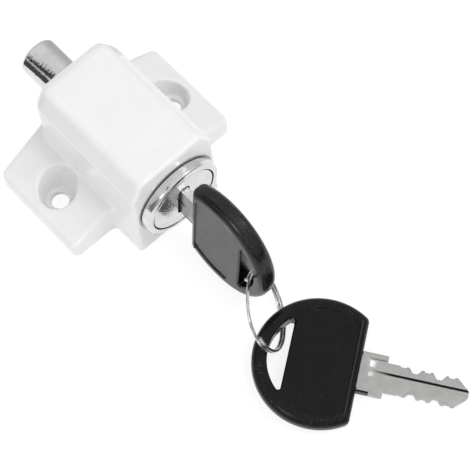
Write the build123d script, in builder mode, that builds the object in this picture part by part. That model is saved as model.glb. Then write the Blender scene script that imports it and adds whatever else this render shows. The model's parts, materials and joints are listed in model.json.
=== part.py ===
from build123d import *
import os
from math import atan2, cos, pi, radians, sin, sqrt

os.makedirs("parts", exist_ok=True)

# Sizes are in millimetres. X runs across the ears, Y along the bolt towards its
# free end, Z up from the mounting face. The origin lies on the mounting face,
# midway between the two screw holes.

# Housing: a white die casting with a central body and two sloping ears
overall_width = 50.0
ear_length = 28.0
ear_edge_height = 5.5
ear_root_height = 12.3
ear_round = 0.8
ear_corner_round = 1.6
ear_root_blend = 1.5
body_base_width = 25.3
body_ridge_width = 24.2
body_top_width = 18.5
body_ridge_height = 26.9
body_height = 32.1
front_reach = 23.5
shoulder_round = 1.5
back_round = 4.0
front_round = 0.7

# Screw holes in the ears
hole_spacing = 36.6
screw_hole = 4.5
countersink_ledge = 6.6
countersink_rim = 10.6
ledge_height = 2.2

# Lock axis and the fits along it
axis_height = 16.1
running_gap = 0.05
seat_gap = 0.02
side_gap = 0.15
end_gap = 0.15
free_gap = 0.3

# Wound wire: stretches to a turn, and the step on which its gap to itself is measured
turn_steps = 4
small_turn_steps = 2
gap_step = 0.4
nearly_nothing = 1e-9

# Bezel and barrel
bezel_width = 21.9
bezel_proud = 2.85
bezel_sink = 0.6
bezel_round = 0.8
bezel_inner_round = 0.06
bezel_lip = 0.25
barrel_width = 19.0
nose_step = 0.1
pin_stroke = 12.0
rear_wall = 3.4

# Bolt
bolt_width = 10.0
bolt_stand = 14.2
bolt_edge = 0.9
bolt_head_length = 2.2
bolt_head_gap = 0.68
cross_pin_width = 1.4
cross_pin_length = 3.6
cross_pin_sink = 0.2

# Plug, its face cap and the keyway
plug_width = 13.0
cap_width = 18.2
cap_thickness = 1.6
cap_sink = 0.1
cap_round = 0.25
keyway_end_gap = 0.3
keyway_wall = 0.7
cap_slot_width = 3.4
cap_slot_height = 11.2
peg_width = 1.5
peg_length = 1.6
peg_offset = 4.6
stub_width = 7.0
stub_flat = 5.0

# Wafers and their springs
wafer_count = 5
first_wafer = 3.7
last_wafer_margin = 1.45
wafer_thickness = 1.0
wafer_width = 5.6
wafer_radius = 6.35
wafer_lift = 1.0
wafer_slot_gap = 0.06
window_gap = 0.1
wafer_ear_reach = 4.7
wafer_ear_height = 1.4
wafer_ear_gap = 0.1
wafer_spring_width = 1.3
wafer_spring_wire = 0.3
wafer_spring_length = 3.0
wafer_spring_turns = 2.0
wafer_spring_gap = 0.08
channel_gap = 0.2

# Cam, washer and screw on the plug's tail
washer_thickness = 0.6
washer_width = 15.2
cam_gap = 0.25
cam_thickness = 2.0
cam_low = 4.0
cam_turn = 90.0
cam_hold = 18.0
climb_steps = 6
cam_screw_head = 5.4
cam_screw_head_height = 0.9
cam_screw_slot = 0.7
cam_screw_width = 2.5
cam_screw_length = 3.0

# Latch pin, which the cam throws into a pocket in the housing's roof
latch_throw = 1.8
latch_gap = 0.1
latch_tip_width = 2.6
latch_tip_chamfer = 0.3
latch_collar_width = 3.6
latch_collar_height = 0.7
latch_nose = 1.3
latch_nose_arc = 60.0
latch_nose_height = 0.78
latch_sunk = 0.1
latch_guide_wall = 0.9
latch_spring_wire = 0.35
latch_spring_turns = 1.5
pocket_gap = 0.15
cam_clearance = 0.08

# Guide foot under the barrel, its groove and the stop pin at the groove's mouth
foot_width = 15.0
foot_length = 6.0
foot_inset = 1.5
foot_drop = 12.9
foot_seat = 8.3
foot_round = 0.4
foot_gap = 0.2
stop_pin_width = 2.0
stop_pin_inset = 0.3

# Return spring round the bolt
return_wire = 1.0
return_width = 17.9
return_room = 7.3
return_turns = 4.0

# Keys: a nickel silver blade in a black moulded head
lean = 6.0
blade_thickness = 2.0
blade_width = 7.0
blade_reach = 25.6
shoulder_width = 10.0
shoulder_length = 6.1
nib_length = 2.9
nib_height = 0.45
tip_length = 2.9
tip_width = 1.6
tip_bevel = 0.5
tang_length = 8.6
tang_width = 8.0
tang_hole = 3.0
tang_hole_place = 5.2
groove_width = 1.4
groove_depth = 0.45
groove_place = 0.15
groove_start = 2.6
groove_ramp = 1.4
step_place = 1.45
step_width = 2.3
step_start = 1.3
upper_cuts = (0.3, 1.2, 0.35, 1.4, 0.4)
lower_cuts = (0.15, 1.0, 0.35, 0.95, 0.3)
cut_floor = 1.1
cut_slope = 0.8
head_width = 31.7
head_flat = 9.4
head_thickness = 4.8
head_edge = 1.9
head_corner = 1.5
slot_flat = 7.6
slot_wall = 3.55
slot_corner = 0.6
panel_corner = 1.3
slot_edge = 0.6
panel_rim = 2.95
panel_near = 1.8
panel_far = 3.8
panel_depth = 0.3

# Places of the ring and of the loose key, which lies flat on the table
loose_key_x = -1.99
loose_key_ahead = 43.48
loose_key_z = 3.8
loose_key_turn = -54.9
loose_key_pitch = 4.5
ring_x = -3.6
ring_ahead = 26.97
ring_z = 9.64
ring_heading = 141.0
ring_rise = -24.8
ring_width = 20.1
ring_wire = 1.0
ring_pitch = 1.42
ring_jog = 34.0
ring_end_gap = 3.0
ring_start = 200.0

# Places along the axis, worked out from the front face back to the bolt's end
front_y = -front_reach
bezel_seat_y = front_y + bezel_sink
bezel_face_y = front_y - bezel_proud
cap_y = bezel_face_y + cap_sink
plug_front_y = cap_y + cap_thickness
nose_y = plug_front_y + nose_step
key_edge_y = plug_front_y - shoulder_length - running_gap
keyway_back_y = key_edge_y + blade_reach + keyway_end_gap
plug_back_y = keyway_back_y + keyway_wall
chamber_y = plug_back_y - side_gap
washer_y = plug_back_y + running_gap
cam_y = washer_y + washer_thickness + cam_gap
cam_screw_y = cam_y + cam_thickness
latch_y = washer_y + washer_thickness + latch_gap + latch_collar_width / 2
bolt_head_y = cam_screw_y + seat_gap + cam_screw_head_height + bolt_head_gap
barrel_back_y = bolt_head_y + bolt_head_length
bore_back_y = barrel_back_y + return_room
back_y = bore_back_y + rear_wall
bolt_end_y = back_y + bolt_stand
foot_y = barrel_back_y - foot_inset - foot_length
stop_pin_y = foot_y - pin_stroke - end_gap - stop_pin_width / 2

# Sizes that follow from the ones above
half_width = overall_width / 2
ridge_x = body_ridge_width / 2
narrow_x = min(body_base_width, body_ridge_width) / 2
wide_x = max(body_base_width, body_ridge_width) / 2
ear_slope = (ear_root_height - ear_edge_height) / (half_width - ridge_x)
barrel_radius = barrel_width / 2
bore_radius = barrel_radius + running_gap
chamber_radius = washer_width / 2 + free_gap
lip_radius = barrel_radius - bezel_lip
channel_radius = wafer_radius + wafer_lift + channel_gap
groove_reach = foot_drop + foot_gap
cam_high = cam_low + latch_throw
latch_low = cam_low + cam_clearance
latch_top = barrel_radius - latch_sunk
latch_shoulder = latch_low + latch_nose_height + latch_collar_height
latch_ledge = barrel_radius - latch_guide_wall
stop_pin_top = axis_height - barrel_radius - free_gap

# Wafers sit at even steps between the plug's face and the blade's tip
wafer_run = blade_reach - tip_length - last_wafer_margin - shoulder_length - running_gap - first_wafer
wafer_pitch = wafer_run / (wafer_count - 1)
wafer_places = [plug_front_y + first_wafer + wafer_pitch * number for number in range(wafer_count)]
wafer_senses = [1 if number % 2 else -1 for number in range(wafer_count)]

tilt = radians(lean)
blade_up = Vector(sin(tilt), 0, cos(tilt))
blade_side = Vector(cos(tilt), 0, -sin(tilt))


def ear_top(x):
    """Height of an ear's sloping top at a distance from the middle of the housing."""
    return ear_edge_height + ear_slope * (half_width - x)


def across(y):
    """Plane across the lock's axis at y, facing the bolt's end."""
    return Plane(origin=(0, y, axis_height), x_dir=(1, 0, 0), z_dir=(0, 1, 0))


def keyed(y):
    """The same plane, turned so that its local Y axis points down the key's blade width."""
    return Plane(origin=(0, y, axis_height), x_dir=blade_side, z_dir=(0, 1, 0))


def arc_path(points, tangents):
    """Biarcs through the points: two arcs between each pair that keep the given tangents."""
    edges = []
    for start, end, go, come in zip(points, points[1:], tangents, tangents[1:]):
        chord = end - start
        both = go + come
        share = 2 * (1 - go.dot(come))
        if share < nearly_nothing:
            reach = chord.dot(chord) / (2 * chord.dot(both))
        else:
            lead = chord.dot(both)
            reach = (-lead + sqrt(lead * lead + share * chord.dot(chord))) / share
        middle = (start + end + (go - come) * reach) * 0.5
        half = (middle - start).normalized()
        turn = half * (2 * go.dot(half)) - go
        edges.append(Edge.make_tangent_arc(start, go, middle))
        edges.append(Edge.make_tangent_arc(middle, turn, end))
    return Wire(edges)


def coil_path(plane, radius, length, turns, steps_each):
    """A helix of biarcs that climbs the plane's normal from its origin."""
    steps = round(turns * steps_each)
    rise = length / steps
    slope = atan2(rise, radius * 2 * pi / steps_each)
    points = []
    tangents = []
    for step in range(steps + 1):
        angle = step * 2 * pi / steps_each
        points.append(plane.from_local_coords((radius * cos(angle), radius * sin(angle), rise * step)))
        heading = (-sin(angle) * cos(slope), cos(angle) * cos(slope), sin(slope))
        tip = plane.from_local_coords(heading)
        tangents.append((tip - plane.origin).normalized())
    return arc_path(points, tangents)


def spring_seat(y, sense):
    """The face of a wafer's ear that its spring pushes on, looking along the spring."""
    middle = Vector(0, y, axis_height) + blade_side * pocket_x
    face = middle - blade_up * (sense * wafer_ear_height / 2)
    return Plane(origin=face, x_dir=(0, 1, 0), z_dir=blade_up * -sense)


def swept_wire(path, wire):
    """A round wire of the given thickness along a path."""
    section = Plane(origin=path.position_at(0), z_dir=path.tangent_at(0))
    with BuildPart() as tube:
        with BuildSketch(section):
            Circle(wire / 2)
        sweep(path=path)
    return tube.part


def least_gap(path, wire, radius):
    """The least clear space between stretches of a wound wire over half a turn apart along it."""
    steps = round(path.length / (wire * gap_step))
    points = [path.position_at(step / steps) for step in range(steps + 1)]
    apart = round(pi * radius / path.length * steps)
    nearest = min(
        (points[late] - points[early]).length
        for early in range(steps + 1)
        for late in range(early + apart, steps + 1)
    )
    return nearest - wire


# Ears: two wedges with rounded tops that run into the body
with BuildPart() as ears:
    for side in (-1, 1):
        with BuildSketch(Plane.XZ.offset(ear_length / 2)):
            with BuildLine():
                Polyline(
                    (side * ridge_x / 2, 0),
                    (side * half_width, 0),
                    (side * half_width, ear_edge_height),
                    (side * ridge_x / 2, ear_top(ridge_x / 2)),
                    close=True,
                )
            make_face()
        extrude(amount=-ear_length)
    outer_edges = ears.edges().filter_by(Axis.Z).filter_by(lambda e: abs(e.center().X) > body_base_width / 2)
    fillet(outer_edges, ear_corner_round)
    top_edges = ears.edges().filter_by(
        lambda e: abs(e.center().X) > ridge_x + ear_round and e.center().Z > ear_edge_height - ear_round
    )
    fillet(top_edges, ear_round)

# Housing: body with chamfered shoulders, the ears, the bore and the deep countersinks
with BuildPart() as housing:
    with BuildSketch(Plane.XZ.offset(front_reach)):
        with BuildLine():
            Polyline(
                (-body_base_width / 2, 0),
                (body_base_width / 2, 0),
                (ridge_x, body_ridge_height),
                (body_top_width / 2, body_height),
                (-body_top_width / 2, body_height),
                (-ridge_x, body_ridge_height),
                close=True,
            )
        make_face()
    extrude(amount=-(front_reach + back_y))
    shoulders = housing.edges().filter_by(Axis.Y).filter_by(lambda e: e.center().Z > body_ridge_height / 2)
    fillet(shoulders, shoulder_round)
    back_edges = housing.faces().sort_by(Axis.Y)[-1].edges().filter_by(lambda e: e.center().Z > front_round)
    fillet(back_edges, back_round)
    front_edges = housing.faces().sort_by(Axis.Y)[0].edges().filter_by(lambda e: e.center().Z > front_round)
    fillet(front_edges, front_round)
    add(ears)
    roots = housing.edges().filter_by(
        lambda e: narrow_x - ear_round < abs(e.center().X) < wide_x + running_gap
        and -ear_length / 2 - running_gap < e.center().Y < running_gap
        and running_gap < e.center().Z < ear_top(narrow_x)
    )
    fillet(roots, ear_root_blend)
    # Screw holes: a through hole, a ledge and a deep tapering countersink
    for hole_x in (-hole_spacing / 2, hole_spacing / 2):
        with BuildSketch(Plane.XZ):
            with BuildLine():
                Polyline(
                    (hole_x, 0),
                    (hole_x + screw_hole / 2, 0),
                    (hole_x + screw_hole / 2, ledge_height),
                    (hole_x + countersink_ledge / 2, ledge_height),
                    (hole_x + countersink_rim / 2, ear_top(hole_spacing / 2)),
                    (hole_x + countersink_rim / 2, body_height),
                    (hole_x, body_height),
                    close=True,
                )
            make_face()
        revolve(axis=Axis((hole_x, 0, 0), (0, 0, 1)), mode=Mode.SUBTRACT)
    # Bore, open at the front, and the seat that the bezel sinks into
    with BuildSketch(across(front_y)):
        Circle(bore_radius)
    extrude(amount=bore_back_y - front_y, mode=Mode.SUBTRACT)
    with BuildSketch(across(front_y)):
        Circle(bezel_width / 2 + side_gap)
    extrude(amount=bezel_sink, mode=Mode.SUBTRACT)
    with BuildSketch(across(bore_back_y)):
        Circle(bolt_width / 2 + running_gap)
    extrude(amount=rear_wall, mode=Mode.SUBTRACT)
    # Broad groove for the guide foot, open at the front
    with BuildSketch(Plane.XZ.offset(front_reach)):
        with Locations((0, axis_height - groove_reach / 2)):
            Rectangle(foot_width + 2 * side_gap, groove_reach)
    extrude(amount=-(front_reach + foot_y + foot_length + end_gap), mode=Mode.SUBTRACT)
    # Stop pin's hole, from the mounting face up into the groove
    with BuildSketch(Plane.XY):
        with Locations((0, stop_pin_y)):
            Circle(stop_pin_width / 2)
    extrude(amount=axis_height - groove_reach / 2, mode=Mode.SUBTRACT)
    # Latch pockets in the bore's roof: one for the locked place, one for the open place
    with BuildSketch(Plane.XY.offset(axis_height)):
        with Locations((0, latch_y), (0, latch_y - pin_stroke)):
            Circle(latch_tip_width / 2 + pocket_gap)
    extrude(amount=latch_top + latch_throw + pocket_gap, mode=Mode.SUBTRACT)
housing.part.label = "housing"

# Stop pin, pressed in from below
with BuildPart() as stop_pin:
    with BuildSketch(Plane.XY.offset(stop_pin_inset)):
        with Locations((0, stop_pin_y)):
            Circle(stop_pin_width / 2)
    extrude(amount=stop_pin_top - stop_pin_inset)
stop_pin.part.label = "stop_pin"

# Bezel: a ring pressed over the barrel's nose, with a lip round the face cap
with BuildPart() as bezel:
    with BuildSketch(Plane.YZ):
        with BuildLine():
            Polyline(
                (bezel_seat_y, axis_height + barrel_radius + seat_gap),
                (bezel_seat_y, axis_height + bezel_width / 2),
                (bezel_face_y, axis_height + bezel_width / 2),
                (bezel_face_y, axis_height + lip_radius),
                (nose_y - seat_gap, axis_height + lip_radius),
                (nose_y - seat_gap, axis_height + barrel_radius + seat_gap),
                close=True,
            )
        make_face()
    revolve(axis=Axis((0, 0, axis_height), (0, 1, 0)))
    face_edges = bezel.faces().sort_by(Axis.Y)[0].edges().sort_by(SortBy.RADIUS)
    fillet(face_edges[-1], bezel_round)
    fillet(face_edges[0], bezel_inner_round)
bezel.part.label = "bezel"

# Barrel: bored for the plug, broached for the wafers, counterbored behind for cam and bolt
with BuildPart() as barrel:
    with BuildSketch(across(nose_y)):
        Circle(barrel_radius)
    extrude(amount=barrel_back_y - nose_y)
    with BuildSketch(across(nose_y)):
        Circle(plug_width / 2 + running_gap)
    extrude(amount=chamber_y - nose_y, mode=Mode.SUBTRACT)
    with BuildSketch(across(chamber_y)):
        Circle(chamber_radius)
    extrude(amount=barrel_back_y - chamber_y, mode=Mode.SUBTRACT)
    # Four channels that the sprung wafers enter when the key is out
    with BuildSketch(keyed(wafer_places[0] - wafer_pitch / 2)):
        Rectangle(wafer_width + 2 * channel_gap, 2 * channel_radius)
        Rectangle(2 * channel_radius, wafer_width + 2 * channel_gap)
        Circle(channel_radius, mode=Mode.INTERSECT)
    extrude(amount=wafer_pitch * wafer_count, mode=Mode.SUBTRACT)
    # Flat seat for the guide foot
    with BuildSketch(Plane.XZ.offset(-foot_y)):
        with Locations((0, axis_height - foot_seat - barrel_radius / 2)):
            Rectangle(foot_width, barrel_radius)
    extrude(amount=-foot_length, mode=Mode.SUBTRACT)
    # Latch pin's guide hole and the spring's wider seat inside it
    with BuildSketch(Plane.XY.offset(axis_height)):
        with Locations((0, latch_y)):
            Circle(latch_tip_width / 2 + running_gap)
    extrude(amount=barrel_width, mode=Mode.SUBTRACT)
    with BuildSketch(Plane.XY.offset(axis_height)):
        with Locations((0, latch_y)):
            Circle(latch_collar_width / 2 + side_gap)
    extrude(amount=latch_ledge, mode=Mode.SUBTRACT)
    # Cross holes for the pins that hold the bolt
    with BuildSketch(Plane.YZ.offset(-barrel_width)):
        with Locations((bolt_head_y + bolt_head_length / 2, axis_height)):
            Circle(cross_pin_width / 2)
    extrude(amount=2 * barrel_width, mode=Mode.SUBTRACT)
barrel.part.label = "barrel"

# Guide foot: a block fixed under the barrel that runs in the housing's groove
with BuildPart() as guide_foot:
    with BuildSketch(Plane.XZ.offset(-foot_y)):
        with Locations((0, axis_height - (foot_seat + foot_drop) / 2)):
            Rectangle(foot_width, foot_drop - foot_seat)
    extrude(amount=-foot_length)
    fillet(guide_foot.faces().sort_by(Axis.Z)[0].edges().filter_by(Axis.X), foot_round)
guide_foot.part.label = "guide_foot"

# Bolt: a head inside the barrel and a plain round shank with a softened end
cross_pin_y = bolt_head_y + bolt_head_length / 2
with BuildPart() as bolt:
    with BuildSketch(across(bolt_head_y)):
        Circle(chamber_radius - seat_gap)
    extrude(amount=bolt_head_length)
    with BuildSketch(across(barrel_back_y)):
        Circle(bolt_width / 2)
    extrude(amount=bolt_end_y - barrel_back_y)
    fillet(bolt.faces().sort_by(Axis.Y)[-1].edges(), bolt_edge)
    for side in (-1, 1):
        with BuildSketch(Plane.YZ.offset(side * barrel_radius)):
            with Locations((cross_pin_y, axis_height)):
                Circle(cross_pin_width / 2)
        extrude(amount=-side * (cross_pin_length + end_gap), mode=Mode.SUBTRACT)
bolt.part.label = "bolt"

with BuildPart() as bolt_pins:
    for side in (-1, 1):
        with BuildSketch(Plane.YZ.offset(side * (barrel_radius - cross_pin_sink))):
            with Locations((cross_pin_y, axis_height)):
                Circle(cross_pin_width / 2 - seat_gap)
        extrude(amount=-side * (cross_pin_length - cross_pin_sink))
bolt_pins.part.label = "bolt_pins"

# Plug: keyway, five wafer slots with a spring pocket beside each, and a flatted tail
keyway_width = blade_thickness + 2 * side_gap
keyway_height = blade_width + 2 * side_gap
window_height = blade_width + 2 * (wafer_lift + window_gap)
wafer_ear_width = wafer_ear_reach - wafer_width / 2
pocket_x = wafer_ear_reach - wafer_ear_width / 2
ear_pocket_width = wafer_ear_width + 2 * wafer_ear_gap
ear_pocket_height = wafer_ear_height + wafer_lift + 2 * wafer_ear_gap
with BuildPart() as plug:
    with BuildSketch(across(plug_front_y)):
        Circle(plug_width / 2)
    extrude(amount=plug_back_y - plug_front_y)
    with BuildSketch(keyed(plug_back_y)):
        Circle(stub_width / 2)
        Rectangle(stub_flat, stub_width, mode=Mode.INTERSECT)
    extrude(amount=cam_screw_y - plug_back_y)
    with BuildSketch(keyed(plug_front_y)):
        Rectangle(keyway_width, keyway_height)
        # A ward on each side wall runs in the blade's groove
        for face in (-1, 1):
            with Locations((face * keyway_width / 2, -groove_place)):
                Rectangle(2 * groove_depth, groove_width - 2 * side_gap, mode=Mode.SUBTRACT)
    extrude(amount=keyway_back_y - plug_front_y, mode=Mode.SUBTRACT)
    for y, sense in zip(wafer_places, wafer_senses):
        with BuildSketch(keyed(y - wafer_thickness / 2 - wafer_slot_gap)):
            Rectangle(wafer_width + 2 * wafer_slot_gap, plug_width)
            with Locations((pocket_x, -sense * wafer_lift / 2)):
                Rectangle(ear_pocket_width, ear_pocket_height)
        extrude(amount=wafer_thickness + 2 * wafer_slot_gap, mode=Mode.SUBTRACT)
        with BuildSketch(spring_seat(y, sense)):
            Circle(wafer_spring_width / 2 + wafer_spring_gap)
        extrude(amount=wafer_spring_length, mode=Mode.SUBTRACT)
    with BuildSketch(keyed(plug_front_y)):
        with Locations((-peg_offset, 0), (peg_offset, 0)):
            Circle(peg_width / 2 + seat_gap)
    extrude(amount=peg_length + end_gap, mode=Mode.SUBTRACT)
    with BuildSketch(across(cam_screw_y)):
        Circle(cam_screw_width / 2 + seat_gap)
    extrude(amount=-cam_screw_length - end_gap, mode=Mode.SUBTRACT)
plug.part.label = "plug"

# Face cap: a plated disc that turns with the plug, held by two pegs
with BuildPart() as plug_cap:
    with BuildSketch(across(cap_y)):
        Circle(cap_width / 2)
    extrude(amount=cap_thickness - seat_gap)
    fillet(plug_cap.faces().sort_by(Axis.Y)[0].edges(), cap_round)
    with BuildSketch(keyed(plug_front_y - seat_gap)):
        with Locations((-peg_offset, 0), (peg_offset, 0)):
            Circle(peg_width / 2)
    extrude(amount=peg_length)
    with BuildSketch(keyed(bezel_face_y)):
        SlotOverall(cap_slot_height, cap_slot_width, rotation=90)
    extrude(amount=2 * cap_thickness, mode=Mode.SUBTRACT)
plug_cap.part.label = "plug_cap"

# Wafers: thin brass plates with a tall window for the blade and an ear for the spring
wafers = []
wafer_springs = []
for number, (y, sense) in enumerate(zip(wafer_places, wafer_senses), start=1):
    with BuildPart() as wafer:
        with BuildSketch(keyed(y - wafer_thickness / 2)):
            Circle(wafer_radius)
            Rectangle(wafer_width, 2 * wafer_radius, mode=Mode.INTERSECT)
            with Locations((pocket_x, 0)):
                Rectangle(wafer_ear_width, wafer_ear_height)
            Rectangle(keyway_width + 2 * side_gap, window_height, mode=Mode.SUBTRACT)
        extrude(amount=wafer_thickness)
    wafer.part.label = f"wafer_{number}"
    wafers.append(wafer.part)
    coil_base = spring_seat(y, sense).offset(wafer_spring_wire / 2 + seat_gap)
    climb = wafer_spring_length - wafer_spring_wire - 2 * seat_gap
    coil_radius = (wafer_spring_width - wafer_spring_wire) / 2
    coil = coil_path(coil_base, coil_radius, climb, wafer_spring_turns, small_turn_steps)
    spring = swept_wire(coil, wafer_spring_wire)
    spring.label = f"wafer_spring_{number}"
    print(f"{spring.label} least gap {least_gap(coil, wafer_spring_wire, coil_radius):.2f} mm")
    wafer_springs.append(spring)

# Tail of the plug: retaining washer, spiral cam and its screw
tail_hole_width = stub_width + 2 * running_gap
tail_hole_flat = stub_flat + 2 * running_gap
with BuildPart() as retaining_washer:
    with BuildSketch(keyed(washer_y)):
        Circle(washer_width / 2)
    extrude(amount=washer_thickness)
    with BuildSketch(keyed(washer_y)):
        Circle(tail_hole_width / 2)
        Rectangle(tail_hole_flat, tail_hole_width, mode=Mode.INTERSECT)
    extrude(amount=washer_thickness, mode=Mode.SUBTRACT)
retaining_washer.part.label = "retaining_washer"


def cam_point(angle, radius):
    """A point of the cam's edge, its angle counted back from the latch pin's place."""
    return (-radius * sin(radians(angle)), -radius * cos(radians(angle)))


# The cam's edge climbs at a steady rate through the key's quarter turn
climb_edge = [
    cam_point(cam_turn * step / climb_steps, cam_low + latch_throw * step / climb_steps)
    for step in range(climb_steps + 1)
]
with BuildPart() as cam:
    with BuildSketch(across(cam_y)):
        with BuildLine():
            ThreePointArc(
                cam_point(-cam_hold, cam_low),
                cam_point(-cam_hold / 2, cam_low),
                cam_point(0, cam_low),
            )
            Spline(*climb_edge)
            ThreePointArc(
                cam_point(cam_turn, cam_high),
                cam_point(cam_turn + cam_hold / 2, cam_high),
                cam_point(cam_turn + cam_hold, cam_high),
            )
            ThreePointArc(
                cam_point(cam_turn + cam_hold, cam_high),
                cam_point(cam_turn / 2 + 180, (cam_high + cam_low) / 2),
                cam_point(-cam_hold, cam_low),
            )
        make_face()
    extrude(amount=cam_thickness)
    with BuildSketch(keyed(cam_y)):
        Circle(tail_hole_width / 2)
        Rectangle(tail_hole_flat, tail_hole_width, mode=Mode.INTERSECT)
    extrude(amount=cam_thickness, mode=Mode.SUBTRACT)
cam.part.label = "cam"

with BuildPart() as cam_screw:
    with BuildSketch(across(cam_screw_y + seat_gap)):
        Circle(cam_screw_head / 2)
    extrude(amount=cam_screw_head_height)
    with BuildSketch(across(cam_screw_y + seat_gap + cam_screw_head_height)):
        Rectangle(cam_screw_head, cam_screw_slot)
    extrude(amount=-cam_screw_head_height / 2, mode=Mode.SUBTRACT)
    with BuildSketch(across(cam_screw_y + seat_gap)):
        Circle(cam_screw_width / 2)
    extrude(amount=-cam_screw_length)
cam_screw.part.label = "cam_screw"

# Latch pin: a domed foot on the cam, a collar for its spring and the locking tip
nose_arc = radians(latch_nose_arc)
nose_middle = (latch_nose * sin(nose_arc / 2), latch_low + latch_nose * (1 - cos(nose_arc / 2)))
nose_end = (latch_nose * sin(nose_arc), latch_low + latch_nose * (1 - cos(nose_arc)))
with BuildPart() as latch_pin:
    with BuildSketch(Plane(origin=(0, latch_y, axis_height), x_dir=(1, 0, 0), z_dir=(0, -1, 0))):
        with BuildLine():
            ThreePointArc((0, latch_low), nose_middle, nose_end)
            Polyline(
                nose_end,
                (nose_end[0], latch_shoulder - latch_collar_height),
                (latch_collar_width / 2, latch_shoulder - latch_collar_height),
                (latch_collar_width / 2, latch_shoulder),
                (latch_tip_width / 2, latch_shoulder),
                (latch_tip_width / 2, latch_top - latch_tip_chamfer),
                (latch_tip_width / 2 - latch_tip_chamfer, latch_top),
                (0, latch_top),
                (0, latch_low),
            )
        make_face()
    revolve(axis=Axis((0, latch_y, axis_height), (0, 0, 1)))
latch_pin.part.label = "latch_pin"

latch_coil_radius = (latch_tip_width + latch_collar_width) / 4 + running_gap
latch_coil = coil_path(
    Plane(origin=(0, latch_y, axis_height + latch_shoulder + latch_spring_wire / 2 + seat_gap)),
    latch_coil_radius,
    latch_ledge - latch_shoulder - latch_spring_wire - 2 * seat_gap,
    latch_spring_turns,
    small_turn_steps,
)
latch_spring = swept_wire(latch_coil, latch_spring_wire)
latch_spring.label = "latch_spring"
print(f"latch_spring least gap {least_gap(latch_coil, latch_spring_wire, latch_coil_radius):.2f} mm")

return_coil_radius = (return_width - return_wire) / 2
return_coil = coil_path(
    across(barrel_back_y + return_wire / 2 + seat_gap),
    return_coil_radius,
    return_room - return_wire - 2 * seat_gap,
    return_turns,
    turn_steps,
)
return_spring = swept_wire(return_coil, return_wire)
return_spring.label = "return_spring"
print(f"return_spring least gap {least_gap(return_coil, return_wire, return_coil_radius):.2f} mm")


def key_blade(plane):
    """A blade whose head starts at the plane's origin and whose tip points along its X axis."""
    half = blade_width / 2
    tip_x = blade_reach - tip_length
    with BuildPart() as blade:
        with BuildSketch(plane):
            with BuildLine():
                Polyline(
                    (0, shoulder_width / 2),
                    (shoulder_length, shoulder_width / 2),
                    (shoulder_length, half),
                    (tip_x, half),
                    (blade_reach, tip_width / 2),
                    (blade_reach, -tip_width / 2),
                    (tip_x, -half),
                    (shoulder_length, -half),
                    (shoulder_length, -shoulder_width / 2),
                    (nib_length, -shoulder_width / 2),
                    (nib_length, nib_height - shoulder_width / 2),
                    (0, nib_height - shoulder_width / 2),
                    close=True,
                )
            make_face()
            with Locations((-tang_length / 2, 0)):
                Rectangle(tang_length, tang_width)
            with Locations((-tang_hole_place, 0)):
                Circle(tang_hole / 2, mode=Mode.SUBTRACT)
            # The cuts that each wafer rides in, along both edges
            for side, depths in ((1, upper_cuts), (-1, lower_cuts)):
                for y, depth in zip(wafer_places, depths):
                    floor_height = side * (half - depth)
                    flare = cut_floor / 2 + depth * cut_slope
                    with BuildLine():
                        Polyline(
                            (y - key_edge_y - flare, side * half),
                            (y - key_edge_y - cut_floor / 2, floor_height),
                            (y - key_edge_y + cut_floor / 2, floor_height),
                            (y - key_edge_y + flare, side * half),
                            close=True,
                        )
                    make_face(mode=Mode.SUBTRACT)
        extrude(amount=blade_thickness / 2, both=True)
        tip_edges = blade.faces().sort_by(Axis(plane.origin, plane.x_dir))[-1].edges()
        chamfer(tip_edges.filter_by(Axis(plane.origin, plane.y_dir)), tip_bevel)
        # Milled lengthways: a groove in each face and a step that thins the upper edge
        for face, low, width, start in (
            (1, groove_place - groove_width / 2, groove_width, groove_start),
            (-1, groove_place - groove_width / 2, groove_width, groove_start),
            (1, step_place, step_width, step_start),
        ):
            start_point = plane.from_local_coords((0, low, 0))
            side_plane = Plane(origin=start_point, x_dir=plane.x_dir, z_dir=-plane.y_dir)
            skin = face * blade_thickness / 2
            with BuildSketch(side_plane):
                with BuildLine():
                    Polyline(
                        (start, skin),
                        (start + groove_ramp, skin - face * groove_depth),
                        (blade_reach + groove_ramp, skin - face * groove_depth),
                        (blade_reach + groove_ramp, skin),
                        close=True,
                    )
                make_face()
            extrude(amount=-width, mode=Mode.SUBTRACT)
    return blade.part


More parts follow.
